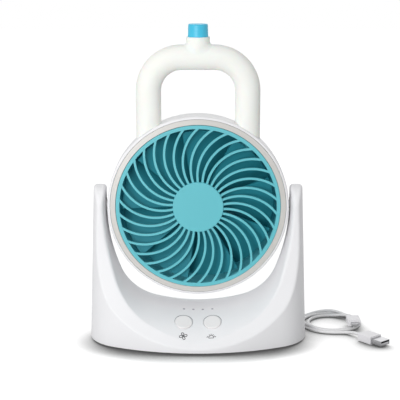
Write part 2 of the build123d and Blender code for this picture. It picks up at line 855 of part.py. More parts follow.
motor_front = rear_plate_front - motor_length
nose_front = motor_front - motor_nose_length
with BuildPart() as motor:
    with BuildSketch(front_plane.offset(-rear_plate_front)):
        Circle(motor_radius)
    extrude(amount=motor_length)
    fillet(motor.faces().sort_by(Axis.Y)[0].edges(), radius=motor_edge)
    with BuildSketch(front_plane.offset(-motor_front)):
        Circle(motor_nose_radius)
    extrude(amount=motor_nose_length)
    with BuildSketch(front_plane.offset(-nose_front)):
        Circle(shaft_radius + running_gap)
    extrude(amount=-motor_length, mode=Mode.SUBTRACT)
    with BuildSketch(front_plane.offset(-rear_plate_front)):
        with Locations(*motor_screw_places):
            Circle(small_screw_radius)
    extrude(amount=motor_screw_reach, mode=Mode.SUBTRACT)
motor.part.label = "motor"
export_step(motor.part, "parts/motor.step")

motor_screw_seat = rear_plate_front + rear_grille_thickness
with BuildPart() as motor_screws:
    with BuildSketch(front_plane.offset(-motor_screw_seat)):
        with Locations(*motor_screw_places):
            Circle(small_screw_radius - running_gap)
    extrude(amount=rear_grille_thickness + motor_screw_reach - fit_gap)
    with BuildSketch(front_plane.offset(-motor_screw_seat)):
        with Locations(*motor_screw_places):
            Circle(small_screw_head_radius)
    extrude(amount=-small_screw_head_height)
motor_screws.part.label = "motor_screws"
export_step(motor_screws.part, "parts/motor_screws.step")


# Rotor: a hub cup with twisted blades
def blade_section(radius, chord, pitch):
    """A thin cambered section, square to the radius."""
    along = Vector(math.cos(math.radians(pitch)), math.sin(math.radians(pitch)))
    across = Vector(-along.Y, along.X) * (blade_thickness / 2)
    lead = along * (chord / 2)
    crown = across * (2 * blade_camber / blade_thickness)
    plane = Plane((radius, blade_setback, pivot_height), x_dir=(0, 0, 1), z_dir=(1, 0, 0))
    with BuildSketch(plane) as section:
        with BuildLine():
            ThreePointArc(across - lead, across + crown, across + lead)
            Line(across + lead, lead - across)
            ThreePointArc(lead - across, crown - across, -lead - across)
            Line(-lead - across, across - lead)
        make_face()
    return section.sketch


root_radius = rotor_hub_radius - 2 * rotor_hub_wall
middle_radius = (root_radius + blade_tip_radius) / 2
with BuildPart() as blade:
    loft(
        [
            blade_section(root_radius, blade_root_chord, blade_root_pitch),
            blade_section(
                middle_radius,
                (blade_root_chord + blade_tip_chord) / 2,
                (blade_root_pitch + blade_tip_pitch) / 2,
            ),
            blade_section(blade_tip_radius + blade_thickness, blade_tip_chord, blade_tip_pitch),
        ]
    )
    with BuildSketch(front_plane):
        Circle(blade_tip_radius)
    extrude(amount=head_rear, both=True, mode=Mode.INTERSECT)

hub_floor = rotor_front - rotor_hub_wall
with BuildPart() as fan_rotor:
    with BuildSketch(front_plane.offset(rotor_front)):
        Circle(rotor_hub_radius)
    extrude(amount=-rotor_hub_length)
    fillet(fan_rotor.faces().sort_by(Axis.Y)[0].edges(), radius=rotor_hub_wall)
    for turn in range(blade_count):
        add(blade.part.rotate(fan_axis, turn * 360 / blade_count))
    with BuildSketch(front_plane.offset(hub_floor)):
        Circle(rotor_hub_radius - rotor_hub_wall)
    extrude(amount=-rotor_hub_length, mode=Mode.SUBTRACT)
    with BuildSketch(front_plane.offset(hub_floor)):
        Circle(shaft_boss_radius)
    extrude(amount=-(hub_floor + nose_front - motor_nose_length))
    with BuildSketch(front_plane.offset(hub_floor)):
        Circle(shaft_radius)
    extrude(amount=-rotor_hub_length, mode=Mode.SUBTRACT)
fan_rotor.part.label = "fan_rotor"
export_step(fan_rotor.part, "parts/fan_rotor.step")

with BuildPart() as motor_shaft:
    with BuildSketch(front_plane.offset(hub_floor)):
        Circle(shaft_radius)
    extrude(amount=-(hub_floor + nose_front + motor_length - shell_wall))
motor_shaft.part.label = "motor_shaft"
export_step(motor_shaft.part, "parts/motor_shaft.step")

# Handle: a bent lamp tube that stands on the drum, with a push button on top
leg = handle_span / 2
leg_foot = pivot_height + head_radius / 2
handle_plane = Plane((0, handle_set, 0), x_dir=(1, 0, 0), z_dir=(0, -1, 0))
with BuildPart() as handle_tube:
    with BuildLine(handle_plane) as handle_path:
        FilletPolyline(
            (-leg, leg_foot), (-leg, handle_centre), (leg, handle_centre), (leg, leg_foot), radius=handle_bend
        )
    with BuildSketch(Plane((-leg, handle_set, leg_foot))):
        Circle(handle_radius)
        Circle(handle_radius - handle_wall, mode=Mode.SUBTRACT)
    sweep(path=handle_path.line)
    with BuildSketch(front_plane):
        Circle(head_radius)
    extrude(amount=head_rear, both=True, mode=Mode.SUBTRACT)
handle_tube.part.label = "handle_tube"
export_step(handle_tube.part, "parts/handle_tube.step")

tube_bore = handle_radius - handle_wall
strip_drop = math.sqrt(tube_bore**2 - (lamp_strip_size[1] / 2) ** 2)
with BuildPart() as lamp_strip:
    with BuildSketch(Plane((0, handle_set, handle_centre - strip_drop))):
        Rectangle(lamp_strip_size[0], lamp_strip_size[1])
    extrude(amount=lamp_strip_size[2])
lamp_strip.part.label = "lamp_strip"
export_step(lamp_strip.part, "parts/lamp_strip.step")

collar_top = handle_top + collar_rise
collar_bore = collar_top_radius - collar_wall
cap_radius = collar_bore - cap_gap
collar_height = collar_top - handle_centre
collar_lean = math.degrees(math.atan2(collar_radius - collar_top_radius, collar_height))
collar_base = Plane((0, handle_set, handle_centre))
with BuildPart() as handle_collar:
    with BuildSketch(collar_base):
        Circle(collar_radius)
    extrude(amount=collar_height, taper=collar_lean)
    with BuildSketch(collar_base.offset(handle_radius + collar_floor)):
        Circle(collar_bore)
    extrude(amount=collar_rise, mode=Mode.SUBTRACT)
    with BuildSketch(Plane.YZ):
        with Locations((handle_set, handle_centre)):
            Circle(handle_radius)
    extrude(amount=collar_radius, both=True, mode=Mode.SUBTRACT)
handle_collar.part.label = "handle_collar"
export_step(handle_collar.part, "parts/handle_collar.step")

collar_seat = handle_top + collar_floor
cap_bottom = collar_seat + cap_travel + switch_gap
cap_top = collar_top + cap_rise
cap_plane = Plane((0, handle_set, 0))
with BuildPart() as handle_button:
    with BuildSketch(cap_plane.offset(cap_bottom)):
        Circle(cap_radius)
    extrude(amount=collar_top - cap_bottom)
    with BuildSketch(cap_plane.offset(collar_top)):
        Circle(cap_radius)
    extrude(amount=cap_rise, taper=cap_taper)
    fillet(handle_button.faces().sort_by(Axis.Z)[-1].edges(), radius=cap_edge)
    with BuildSketch(cap_plane.offset(cap_bottom)):
        Circle(cap_radius - cap_wall)
    extrude(amount=cap_top - cap_bottom - cap_wall, taper=cap_taper, mode=Mode.SUBTRACT)
    with BuildSketch(cap_plane.offset(cap_top - cap_wall)):
        Circle(button_plunger_radius)
    switch_top = collar_seat + switch_height + switch_stem_height
    extrude(amount=-(cap_top - cap_wall - switch_top - cap_travel - switch_gap))
handle_button.part.label = "handle_button"
export_step(handle_button.part, "parts/handle_button.step")

with BuildPart() as handle_switch:
    with BuildSketch(cap_plane.offset(collar_seat)):
        Rectangle(switch_side, switch_side)
    extrude(amount=switch_height)
    with BuildSketch(cap_plane.offset(collar_seat + switch_height)):
        Circle(switch_stem_radius)
    extrude(amount=switch_stem_height)
handle_switch.part.label = "handle_switch"
export_step(handle_switch.part, "parts/handle_switch.step")


# Cable: a flat coil that winds inwards and lifts to its small plug, and a short tail to its large plug
def half_biarc(start, start_way, end, end_way):
    """Two arcs that leave start along one direction and reach end along another."""
    chord = end - start
    ways = start_way + end_way
    spread = 2 * (1 - start_way.dot(end_way))
    reach = chord.dot(ways)
    step = (math.sqrt(4 * reach**2 + 4 * spread * chord.dot(chord)) - 2 * reach) / (2 * spread)
    near = start + start_way * step
    far = end - end_way * step
    joint = (near + far) * 0.5
    TangentArc(start, joint, tangent=start_way)
    TangentArc(joint, end, tangent=(far - near).normalized())


coil_middle = Vector(base_half_width + coil_offset[0], coil_offset[1], cord_height)
cord_stub = 2 * cord_radius
coil_start = coil_middle + Vector(0, -coil_radius)
inner_radius = coil_radius - coil_half_turns * coil_pitch / 2
plug_height = 2 * cord_height + plug_rest + micro_grip_size[2] / 2
coil_end = coil_middle + Vector(inner_radius - coil_pitch / 4, 0, plug_height - cord_height)
left_way = Vector(-1, 0)
near_way = Vector(0, -1)
with BuildPart() as cable_coil:
    with BuildLine() as coil_path:
        Line(coil_start - left_way * cord_stub, coil_start)
        place = coil_start
        way = left_way
        for turn in range(coil_half_turns):
            next_radius = coil_radius - (turn + 1) * coil_pitch / 2
            next_place = coil_middle + Vector(0, next_radius if turn % 2 == 0 else -next_radius)
            half_biarc(place, way, next_place, way * -1)
            place = next_place
            way = way * -1
        half_biarc(place, way, coil_end, near_way)
        Line(coil_end, coil_end + near_way * cord_stub)
    with BuildSketch(Plane(coil_start - left_way * cord_stub, x_dir=(0, 1, 0), z_dir=left_way)):
        RegularPolygon(cord_radius, cord_sides, major_radius=False, rotation=180 / cord_sides)
    sweep(path=coil_path.line)
cable_coil.part.label = "cable_coil"
export_step(cable_coil.part, "parts/cable_coil.step")

coil_wire = coil_path.wire()
coil_samples = [coil_wire.position_at(n / coil_sample_count) for n in range(coil_sample_count + 1)]
own_reach = math.ceil(own_reach_stubs * cord_stub * coil_sample_count / coil_wire.length)
later_samples = [coil_samples[n + own_reach :] for n in range(coil_sample_count)]
least_gap = min((later - place).length for place, rest in zip(coil_samples, later_samples) for later in rest)
print("cable_coil length", round(coil_wire.length, 1), "least gap", round(least_gap - cord_stub, 2))
cord_section = cord_sides * cord_radius**2 * math.tan(math.pi / cord_sides)
coil_share = cable_coil.part.volume / (cord_section * coil_wire.length)
print("cable_coil volume over section times length", round(coil_share, 4))

# Tail from the coil to the large plug
plug_way = Vector(*plug_direction).normalized()
grip_height = a_grip_size[2] / 2 + cord_lift
tail_start = coil_start - left_way * cord_stub
tail_turn = tail_start - left_way * tail_lead
tail_top = tail_turn + plug_way * tail_rise_run + Vector(0, 0, grip_height - cord_height)
tail_end = tail_top + plug_way * tail_end_run
tail_points = [tail_start, tail_turn, tail_top, tail_end]


def bend_radius(before, corner, after):
    """The largest smooth bend that the runs on both sides of a corner leave room for."""
    turn = (corner - before).get_angle(after - corner)
    run = min((corner - before).length, (after - corner).length)
    return bend_share * run / math.tan(math.radians(turn / 2))


tail_radii = [bend_radius(*tail_points[n : n + 3]) for n in range(len(tail_points) - 2)]
print("cable_tail radii", [round(radius, 1) for radius in tail_radii])
with BuildPart() as cable_tail:
    with BuildLine() as tail_path:
        FilletPolyline(*tail_points, radius=tail_radii)
    with BuildSketch(Plane(tail_start, x_dir=(0, 1, 0), z_dir=left_way * -1)):
        RegularPolygon(cord_radius, cord_sides, major_radius=False, rotation=180 / cord_sides)
    sweep(path=tail_path.line)
cable_tail.part.label = "cable_tail"
export_step(cable_tail.part, "parts/cable_tail.step")


def plug_grip(plane, size, relief_length, relief_radius):
    """A moulded grip with a tapered strain relief behind it; the plane's normal points to the tip."""
    with BuildPart() as grip:
        with BuildSketch(plane.offset(relief_length)):
            RectangleRounded(size[0], size[2], plug_edge)
        extrude(amount=size[1])
        if relief_length:
            with BuildSketch(plane):
                Circle(cord_radius + a_relief_wall)
            with BuildSketch(plane.offset(relief_length)):
                Circle(relief_radius)
            loft()
    return grip


a_plane = Plane(tail_end, x_dir=plug_way.cross(Vector(0, 0, 1)) * -1, z_dir=plug_way)
usb_a_grip = plug_grip(a_plane, a_grip_size, a_relief_length, a_relief_radius)
usb_a_grip.part.label = "usb_a_grip"
export_step(usb_a_grip.part, "parts/usb_a_grip.step")

a_front = a_plane.offset(a_relief_length + a_grip_size[1])
with BuildPart() as usb_a_shell:
    with BuildSketch(a_front):
        Rectangle(a_shell_size[0], a_shell_size[2])
        Rectangle(a_shell_size[0] - 2 * a_shell_wall, a_shell_size[2] - 2 * a_shell_wall, mode=Mode.SUBTRACT)
    extrude(amount=a_shell_size[1])
    # Inner tongue that carries the contacts
    with BuildSketch(a_front):
        with Locations((0, -a_shell_size[2] / 2 + a_shell_wall)):
            Rectangle(a_shell_size[0] - 2 * a_shell_wall, a_shell_size[2] / 2 - a_shell_wall,
                      align=(Align.CENTER, Align.MIN))
    extrude(amount=a_shell_size[1] - a_shell_wall)
    # Square windows in the upper wall
    window_plane = Plane(a_front.origin, x_dir=a_front.x_dir, z_dir=(0, 0, 1))
    with BuildSketch(window_plane):
        with Locations((-a_window_side, a_shell_size[1] / 2), (a_window_side, a_shell_size[1] / 2)):
            Rectangle(a_window_side, a_window_side)
    extrude(amount=a_shell_size[2], mode=Mode.SUBTRACT)
usb_a_shell.part.label = "usb_a_shell"
export_step(usb_a_shell.part, "parts/usb_a_shell.step")

micro_plane = Plane(coil_end + near_way * cord_stub, x_dir=(1, 0, 0), z_dir=near_way)
usb_micro_grip = plug_grip(micro_plane, micro_grip_size, 0, 0)
usb_micro_grip.part.label = "usb_micro_grip"
export_step(usb_micro_grip.part, "parts/usb_micro_grip.step")

with BuildPart() as usb_micro_shell:
    with BuildSketch(micro_plane.offset(micro_grip_size[1])):
        RectangleRounded(micro_shell_size[0], micro_shell_size[2], micro_shell_edge)
    extrude(amount=micro_shell_size[1])
usb_micro_shell.part.label = "usb_micro_shell"
export_step(usb_micro_shell.part, "parts/usb_micro_shell.step")
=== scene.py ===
"""Looks for the rechargeable table fan: materials, collar, cable, signs, floor, light and camera.

Metres, in the part's own frame: +Z is up and the fan blows towards -Y.
"""

import json
import math

import bmesh
import bpy
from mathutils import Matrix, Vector
from mathutils.bvhtree import BVHTree


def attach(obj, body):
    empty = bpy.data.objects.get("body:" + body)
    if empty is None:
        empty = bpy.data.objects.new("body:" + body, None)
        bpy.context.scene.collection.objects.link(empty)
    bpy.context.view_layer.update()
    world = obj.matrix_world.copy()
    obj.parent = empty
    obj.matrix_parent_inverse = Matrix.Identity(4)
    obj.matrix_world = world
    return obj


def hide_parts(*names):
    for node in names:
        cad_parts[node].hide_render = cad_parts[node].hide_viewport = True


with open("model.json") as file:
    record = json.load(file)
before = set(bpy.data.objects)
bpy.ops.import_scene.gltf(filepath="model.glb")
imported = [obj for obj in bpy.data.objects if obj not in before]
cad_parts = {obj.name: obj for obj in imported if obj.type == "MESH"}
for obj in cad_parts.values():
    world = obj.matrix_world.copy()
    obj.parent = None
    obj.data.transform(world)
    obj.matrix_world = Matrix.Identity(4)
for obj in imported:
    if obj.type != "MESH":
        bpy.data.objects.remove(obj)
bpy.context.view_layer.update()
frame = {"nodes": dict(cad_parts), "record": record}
scene = bpy.context.scene
MM = 0.001

# Camera, in metres, degrees and lens millimetres
camera_place = (1.75 * MM, -1068.4 * MM, 363.8 * MM)
camera_down = 12.29
camera_lens = 106.8
camera_sensor = 36.0

# Sizes repeated from the part, in millimetres and degrees
pivot_height = 127.4
shell_inner = 80.5
handle_radius = 11.5
handle_axis = Vector((0.0, -1.0, 262.4))
collar_radius = 11.0
collar_slope = 0.022
saddle_height = 32.6
saddle_radius = 160.0
hump_radius = 72.0
button_across = 13.1
button_lean = 28.5
cord_radius = 1.45
cord_height = 1.5
cord_stub = 2.9
coil_place = Vector((128.0, 36.0, 0.0))
coil_radius = 31.5
coil_pitch = 3.6
coil_turns = 2.5
micro_plug_height = 6.5
tail_lead = 10.0
tail_rise_run = 9.0
tail_end_run = 6.0
a_plug_height = 3.8
plug_way = Vector((0.65, -0.76, 0.0)).normalized()

# The drum's painted shade inside: how far it may lie past the wall, and where it starts
painted_shade_margin = 0.4
painted_shade_front = -12.0

# Hollow where the collar runs into the handle
hollow_sink = 0.12
hollow_run = 3.2
hollow_front_run = 3.0
hollow_root = 0.8
hollow_steps = 8
hollow_sections = 72

# Looseness of the cable's coil
coil_sway = (-3.7, 3.4, -3.0)
coil_loose_share = 0.7
coil_points_per_turn = 24
cord_hump = 3.2
cord_smoothness = 6

# Printed signs, in millimetres and degrees
fan_sign_across = -13.4
lamp_sign_across = 11.9
sign_lean = 40.9
sign_lift = 0.03
sign_line = 0.62
sign_throw = 10
petal_count = 4
petal_turn = 10
petal_length = 3.2
petal_width = 1.3
petal_start = 0.35
petal_root_share = 0.45
petal_bend = 0.12
petal_steps = 20
lamp_foot = Vector((0, -1.9))
dome_across = 2.4
dome_rise = 2.6
dome_steps = 12
ray_angles = (60, 90, 120)
ray_start = 1.25
ray_end = 1.65
side_ray_start = (2.8, 2.0)
side_ray_end = (4.1, 0.8)

# Painted shadows of the gaps round the buttons, in millimetres and degrees
gap_shadow_start = -25
gap_shadow_sweep = 230
gap_shadow_steps = 36
gap_shadow_inner_radius = 8.3
gap_shadow_outer_radius = 8.36
gap_shadow_swell = 1.2

# Floor and light, in metres
floor_half = 4.0
floor_shaded_tone = 0.06
floor_pale = 0.48
floor_glow_strength = 0.76
shade_reach = 0.026
shade_darkest = 0.48
shade_clear = 0.96
shade_least = 0.09
shade_lean_back = 0.95
shade_lean_up = 0.31
shade_samples = 24
world_strength = 0.63
light_aim = (0, 0, 0.13)


def placed(name, data):
    """A new object in the scene for some data."""
    made = bpy.data.objects.new(name, data)
    scene.collection.objects.link(made)
    return made


camera_data = bpy.data.cameras.new("camera")
camera_data.lens = camera_lens
camera_data.sensor_width = camera_sensor
camera = placed("camera", camera_data)
camera.location = camera_place
camera.rotation_euler = (math.radians(90 - camera_down), 0, 0)
scene.camera = camera


# Materials
def linear(red, green, blue):
    """A colour given in display values from 0 to 255, as the shader takes it."""
    parts = [value / 255 for value in (red, green, blue)]
    return [part / 12.92 if part <= 0.04045 else ((part + 0.055) / 1.055) ** 2.4 for part in parts] + [1.0]


def link(tree, source, target):
    """Joins an output to an input."""
    tree.links.new(source, target)


def math_node(tree, operation, first, second):
    """The output of a math node on two values, each an output of another node or a number."""
    made = tree.nodes.new("ShaderNodeMath")
    made.operation = operation
    for socket, value in zip(made.inputs, (first, second)):
        if isinstance(value, float):
            socket.default_value = value
        else:
            link(tree, value, socket)
    return made.outputs["Value"]


grain_detail = 2.0
grain_depth = 0.1
drift_scale = 22.0
drift_detail = 3.0
gloss_spread = 0.05


def moulded(name, colour, roughness, grain=1600.0, bump=0.06, drift=0.03, **sockets):
    """Plastic with a fine moulded grain, a slight drift of tone and uneven gloss."""
    made = bpy.data.materials.new(name)
    made.use_nodes = True
    tree = made.node_tree
    shader = tree.nodes["Principled BSDF"]
    place = tree.nodes.new("ShaderNodeTexCoord")
    fine = tree.nodes.new("ShaderNodeTexNoise")
    fine.inputs["Scale"].default_value = grain
    fine.inputs["Detail"].default_value = grain_detail
    link(tree, place.outputs["Object"], fine.inputs["Vector"])
    relief = tree.nodes.new("ShaderNodeBump")
    relief.inputs["Strength"].default_value = bump
    relief.inputs["Distance"].default_value = grain_depth * MM
    link(tree, fine.outputs["Fac"], relief.inputs["Height"])
    link(tree, relief.outputs["Normal"], shader.inputs["Normal"])
    broad = tree.nodes.new("ShaderNodeTexNoise")
    broad.inputs["Scale"].default_value = drift_scale
    broad.inputs["Detail"].default_value = drift_detail
    link(tree, place.outputs["Object"], broad.inputs["Vector"])
    tone = tree.nodes.new("ShaderNodeMix")
    tone.name = "tone"
    tone.data_type = "RGBA"
    tone.inputs["A"].default_value = [value * (1 - drift) for value in colour[:3]] + [1.0]
    tone.inputs["B"].default_value = [min(1.0, value * (1 + drift)) for value in colour[:3]] + [1.0]
    link(tree, broad.outputs["Fac"], tone.inputs["Factor"])
    link(tree, tone.outputs["Result"], shader.inputs["Base Color"])
    gloss = tree.nodes.new("ShaderNodeMapRange")
    gloss.inputs["To Min"].default_value = roughness - gloss_spread
    gloss.inputs["To Max"].default_value = roughness + gloss_spread
    link(tree, fine.outputs["Fac"], gloss.inputs["Value"])
    link(tree, gloss.outputs["Result"], shader.inputs["Roughness"])
    for socket, value in sockets.items():
        shader.inputs[socket.replace("_", " ")].default_value = value
    return made


def metal(name, colour, roughness, brush=(900.0, 900.0, 40.0)):
    """Metal with fine brushed lines along one direction."""
    made = moulded(name, colour, roughness, drift=0.06, Metallic=1.0)
    tree = made.node_tree
    place = tree.nodes["Texture Coordinate"]
    stretch = tree.nodes.new("ShaderNodeMapping")
    stretch.inputs["Scale"].default_value = brush
    link(tree, place.outputs["Object"], stretch.inputs["Vector"])
    fine = tree.nodes["Noise Texture"]
    fine.inputs["Scale"].default_value = 1.0
    link(tree, stretch.outputs["Vector"], fine.inputs["Vector"])
    return made


white = linear(238, 238, 240)
teal = linear(96, 189, 200)
dark_teal = linear(36, 128, 142)
# Painted light: a lighter teal for the drum's inside and the rear grille, which lie in shade, so that they
# read as an even dark teal
painted_light_teal = linear(112, 214, 226)
materials = {
    "white_plastic": moulded("white_plastic", white, 0.48, Specular_IOR_Level=0.25),
    # The drum's white, with painted shade inside
    "drum_plastic_painted_shade": moulded("drum_plastic_painted_shade", white, 0.48, Specular_IOR_Level=0.25),
    "ring_plastic": moulded("ring_plastic", linear(206, 204, 200), 0.38),
    "teal_plastic": moulded("teal_plastic", teal, 0.45),
    "dark_plastic": moulded("dark_plastic", dark_teal, 0.55, drift=0.06, Specular_IOR_Level=0.2),
    "painted_light_plastic": moulded("painted_light_plastic", painted_light_teal, 0.55, drift=0.06, Specular_IOR_Level=0.2),
    "cap_plastic": moulded("cap_plastic", linear(64, 192, 226), 0.42, bump=0.03),
    "lamp_diffuser": moulded(
        "lamp_diffuser", linear(248, 248, 243), 0.6, bump=0.03, drift=0.01, Subsurface_Weight=0.15,
        Subsurface_Scale=3 * MM, Specular_IOR_Level=0.1,
    ),
    "button_plastic": moulded("button_plastic", linear(241, 239, 239), 0.45, Specular_IOR_Level=0.25),
    "foot_rubber": moulded("foot_rubber", linear(40, 40, 42), 0.8, grain=900.0, bump=0.2),
    "screw_steel": metal("screw_steel", linear(170, 171, 174), 0.32),
    "bush_plastic": moulded("bush_plastic", linear(222, 221, 216), 0.4),
    "lens_plastic": moulded("lens_plastic", linear(196, 194, 204), 0.15, bump=0.0, Transmission_Weight=0.2),
    "board": moulded("board", linear(28, 96, 60), 0.45),
    "switch_plastic": moulded("switch_plastic", linear(38, 38, 40), 0.5),
    "tray_plastic": moulded("tray_plastic", linear(52, 52, 55), 0.6),
    "cell_metal": moulded("cell_metal", linear(52, 92, 168), 0.3, bump=0.01),
    "motor_metal": metal("motor_metal", linear(128, 129, 132), 0.4),
    "cable_jacket": moulded("cable_jacket", linear(236, 236, 237), 0.4, grain=700.0, bump=0.04),
    "cable_grip": moulded("cable_grip", linear(232, 231, 234), 0.42),
    "plug_metal": metal("plug_metal", linear(172, 172, 174), 0.3),
    "sign_ink": moulded("sign_ink", linear(46, 46, 50), 0.55, drift=0.1),
    # Grey for the painted shadows in the gaps round the buttons
    "gap_shadow_grey": moulded("gap_shadow_grey", linear(158, 158, 162), 0.6),
}
finer = {
    "fan_button": "button_plastic",
    "light_button": "button_plastic",
    "handle_collar": "lamp_diffuser",
    # The rear grille takes the lighter teal, as painted light against the shade in the drum
    "rear_grille": "painted_light_plastic",
    "head_shell": "drum_plastic_painted_shade",
}
for row in frame["record"]["subparts"]:
    mesh = frame["nodes"][row["node"]].data
    mesh.materials.clear()
    mesh.materials.append(materials[finer.get(row["node"], row["material_slot"])])


# Painted shade: the white drum is coloured teal inside, where it lies in shade, and the teal is lightened
# as painted light
def paint_shade_inside(made, inner, front):
    """Paints shade: colours teal what lies within a radius of the fan axis and behind the front edge, where
    the drum is in shade.
    """
    tree = made.node_tree
    place = tree.nodes["Texture Coordinate"]
    axes = tree.nodes.new("ShaderNodeSeparateXYZ")
    link(tree, place.outputs["Object"], axes.inputs["Vector"])
    flat = tree.nodes.new("ShaderNodeCombineXYZ")
    link(tree, axes.outputs["X"], flat.inputs["X"])
    link(tree, math_node(tree, "SUBTRACT", axes.outputs["Z"], pivot_height * MM), flat.inputs["Y"])
    reach = tree.nodes.new("ShaderNodeVectorMath")
    reach.operation = "LENGTH"
    link(tree, flat.outputs["Vector"], reach.inputs[0])
    within = math_node(tree, "LESS_THAN", reach.outputs["Value"], inner * MM)
    behind = math_node(tree, "GREATER_THAN", axes.outputs["Y"], front * MM)
    paint = tree.nodes.new("ShaderNodeMix")
    paint.data_type = "RGBA"
    paint.inputs["B"].default_value = painted_light_teal
    link(tree, math_node(tree, "MULTIPLY", within, behind), paint.inputs["Factor"])
    link(tree, tree.nodes["tone"].outputs["Result"], paint.inputs["A"])
    link(tree, paint.outputs["Result"], tree.nodes["Principled BSDF"].inputs["Base Color"])


# Painted shade inside the drum, in the lightened teal
paint_shade_inside(materials["drum_plastic_painted_shade"], shell_inner + painted_shade_margin, painted_shade_front)


def mesh_piece(name, mesh, material):
    """A piece made of a finished mesh, with its faces turned outwards."""
    bmesh.ops.recalc_face_normals(mesh, faces=mesh.faces)
    data = bpy.data.meshes.new(name)
    mesh.to_mesh(data)
    mesh.free()
    data.materials.append(materials[material])
    return placed(name, data)


# The collar runs into the handle in a soft hollow, not in a crease
def collar_section(turn):
    """A closed section of the hollow at a turn round the collar, from the collar's wall to the tube's."""
    wall_normal = Vector((math.cos(turn), math.sin(turn), 0))
    crease = wall_normal * collar_radius
    crease.z = math.sqrt(handle_radius**2 - crease.y**2)
    crease -= wall_normal * collar_slope * crease.z
    crease.z = math.sqrt(handle_radius**2 - crease.y**2)
    tube_normal = Vector((0, crease.y, crease.z)).normalized()
    outward = (wall_normal - tube_normal * wall_normal.dot(tube_normal)).normalized()
    run = hollow_run + hollow_front_run * math.sin(turn) ** 2
    on_tube = crease + outward * run
    flat = Vector((0, on_tube.y, on_tube.z)).normalized() * (handle_radius - hollow_sink)
    on_tube = Vector((on_tube.x, flat.y, flat.z))
    on_wall = crease + Vector((0, 0, run)) - wall_normal * (collar_slope * run + hollow_sink)
    section = [crease - (wall_normal + tube_normal).normalized() * hollow_root]
    for n in range(hollow_steps + 1):
        share = n / hollow_steps
        section.append(on_wall * (1 - share) ** 2 + crease * 2 * share * (1 - share) + on_tube * share**2)
    return [(handle_axis + point) * MM for point in section]


hollow_mesh = bmesh.new()
hollow_rings = []
for n in range(hollow_sections):
    section = collar_section(2 * math.pi * n / hollow_sections)
    hollow_rings.append([hollow_mesh.verts.new(point) for point in section])
for n, ring in enumerate(hollow_rings):
    after = hollow_rings[(n + 1) % hollow_sections]
    for k in range(len(ring)):
        next_k = (k + 1) % len(ring)
        face = hollow_mesh.faces.new((ring[k], after[k], after[next_k], ring[next_k]))
        face.smooth = True
    for k in (1, len(ring) - 1):
        hollow_mesh.edges.get((ring[k], after[k])).smooth = False
hollow = mesh_piece("collar_hollow", hollow_mesh, "lamp_diffuser")
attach(hollow, "head")


# Cable: one line from the small plug, out through the loose coil to the large plug
def coil_reach(turns):
    """How far the cord lies from the coil's middle: on one side the loose turns swap places and fan out."""
    share = turns % 1 / coil_loose_share
    bulge = math.sin(math.pi * share) ** 2 if share < 1 else 0.0
    return coil_radius - coil_pitch * turns + coil_sway[int(turns)] * bulge


def coil_height(turns):
    """The second turn goes over the first in long low humps, and the rest lies on the floor."""
    if not 1 <= turns < 2:
        return cord_height
    apart = abs(coil_reach(turns) - coil_reach(turns - 1))
    return cord_height + cord_hump * math.cos(math.pi / 2 * min(1.0, apart / coil_pitch))


def round_coil(reach, angle, height):
    """A point at an angle round the coil's middle."""
    return coil_place + Vector((reach * math.cos(angle), reach * math.sin(angle), height))


def coil_points():
    """The coil's control points, from its outer end inwards."""
    steps = round(coil_turns * coil_points_per_turn)
    points = []
    for n in range(steps + 1):
        turns = coil_turns * n / steps
        points.append(round_coil(coil_reach(turns), math.radians(-90 - 360 * turns), coil_height(turns)))
    # The last quarter turn lifts to the plug that lies on the coil
    inner = coil_reach(coil_turns)
    plug_reach = coil_radius - coil_pitch * (coil_turns + 1 / 4)
    lift = micro_plug_height - cord_height
    rise_steps = coil_points_per_turn // 4
    for n in range(1, rise_steps + 1):
        share = n / rise_steps
        reach = inner + (plug_reach - inner) * share
        height = cord_height + lift * share * share * (3 - 2 * share)
        points.append(round_coil(reach, math.radians(90 - 90 * share), height))
    points.append(points[-1] + Vector((0, -cord_stub, 0)))
    return points


def tail_points():
    """The tail's control points, from the large plug to the coil."""
    start = coil_place + Vector((cord_stub, -coil_radius, cord_height))
    turn = start + Vector((tail_lead, 0, 0))
    top = turn + plug_way * tail_rise_run + Vector((0, 0, a_plug_height - cord_height))
    return [top + plug_way * tail_end_run, top, turn, start]


route = [point * MM for point in reversed(tail_points() + coil_points())]
cable_data = bpy.data.curves.new("cable", "CURVE")
cable_data.dimensions = "3D"
cable_data.bevel_depth = cord_radius * MM
cable_data.bevel_resolution = cord_smoothness
cable_data.resolution_u = cord_smoothness
cable_data.use_fill_caps = True
spline = cable_data.splines.new("NURBS")
spline.points.add(len(route) - 1)
for point, place in zip(spline.points, route):
    point.co = (*place, 1.0)
spline.order_u = 3
spline.use_endpoint_u = True
cable_data.materials.append(materials["cable_jacket"])
cable = placed("cable", cable_data)
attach(cable, "base")
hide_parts("cable_coil", "cable_tail")

# Printed signs below the buttons, laid on the panel
shell_mesh = frame["nodes"]["base_front_shell"].data
shell_corners = [vertex.co.copy() for vertex in shell_mesh.vertices]
shell_faces = [tuple(face.vertices) for face in shell_mesh.polygons]
shell_tree = BVHTree.FromPolygons(shell_corners, shell_faces)


def ribbon(points, closed=False):
    """Both edges of a line of the signs' width along flat points."""
    count = len(points)
    left = []
    right = []
    for n, point in enumerate(points):
        before = points[n - 1] if n or closed else point
        after = points[(n + 1) % count] if n + 1 < count or closed else point
        way = (after - before).normalized()
        side = Vector((-way.y, way.x)) * (sign_line / 2)
        left.append(point + side)
        right.append(point - side)
    return left, right, closed


